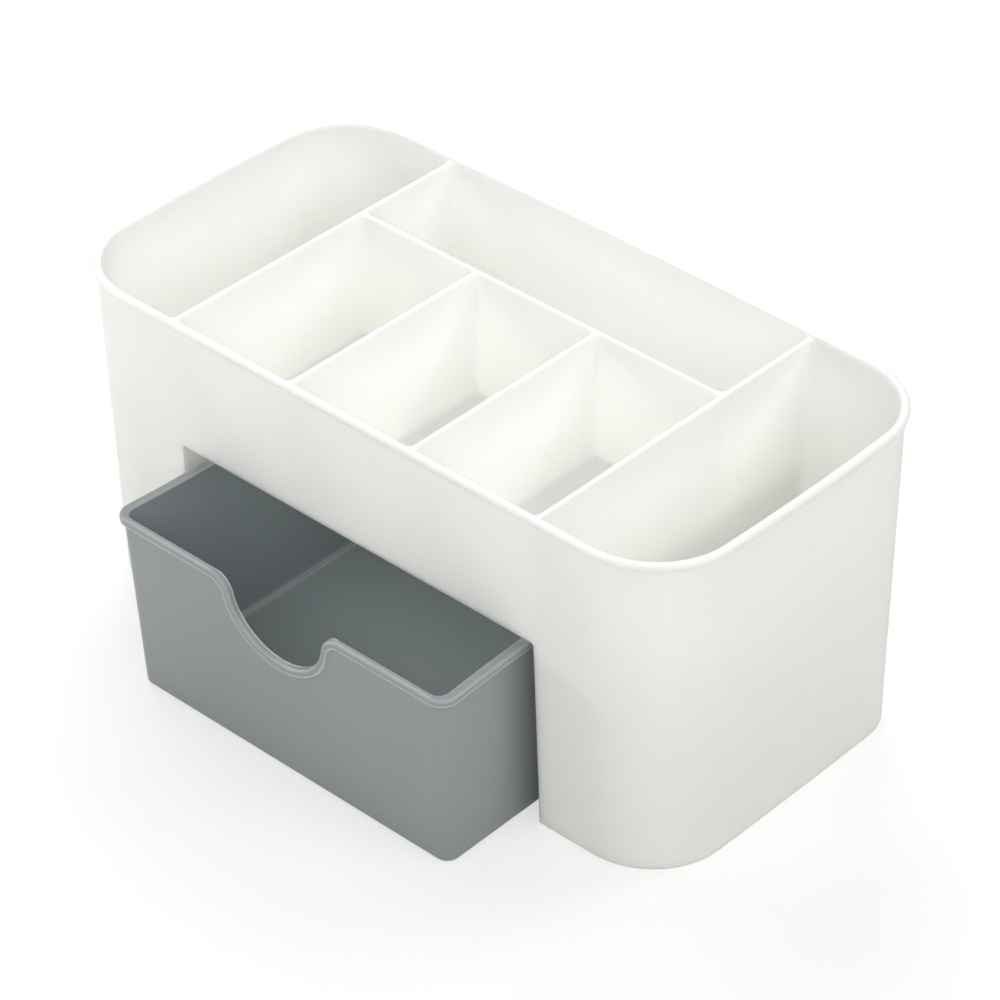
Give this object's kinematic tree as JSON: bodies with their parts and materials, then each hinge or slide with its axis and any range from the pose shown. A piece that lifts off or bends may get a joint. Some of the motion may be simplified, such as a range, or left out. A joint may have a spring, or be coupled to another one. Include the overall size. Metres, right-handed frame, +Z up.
{
  "type": "desk organizer with drawer",
  "caption": "Open-topped rounded desk organizer with divided compartments and a small drawer that slides out of its front under the divided floor.",
  "frame": {"origin": "On the table, at the middle of the footprint that the housing and the pulled-out drawer take up together at rest. The middle of the housing lies 14.12 mm behind it, along +Y.", "axes": "+Z up, +X along the housing's length to the right seen from the front, and -Y is the front, the way the drawer pulls out"},
  "size_m": [0.22, 0.1446, 0.1045],
  "materials": {
    "ivory_plastic": "satin",
    "grey_plastic": "satin"
  },
  "bodies": {
    "organizer": {"housing": "ivory_plastic"},
    "pull_drawer": {"drawer": "grey_plastic"}
  },
  "joints": [
    {"name": "drawer_slide", "type": "slide", "parent": "organizer", "child": "pull_drawer", "axis": [0, -1, 0], "range_m": [-0.0315, 0.05]}
  ]
}
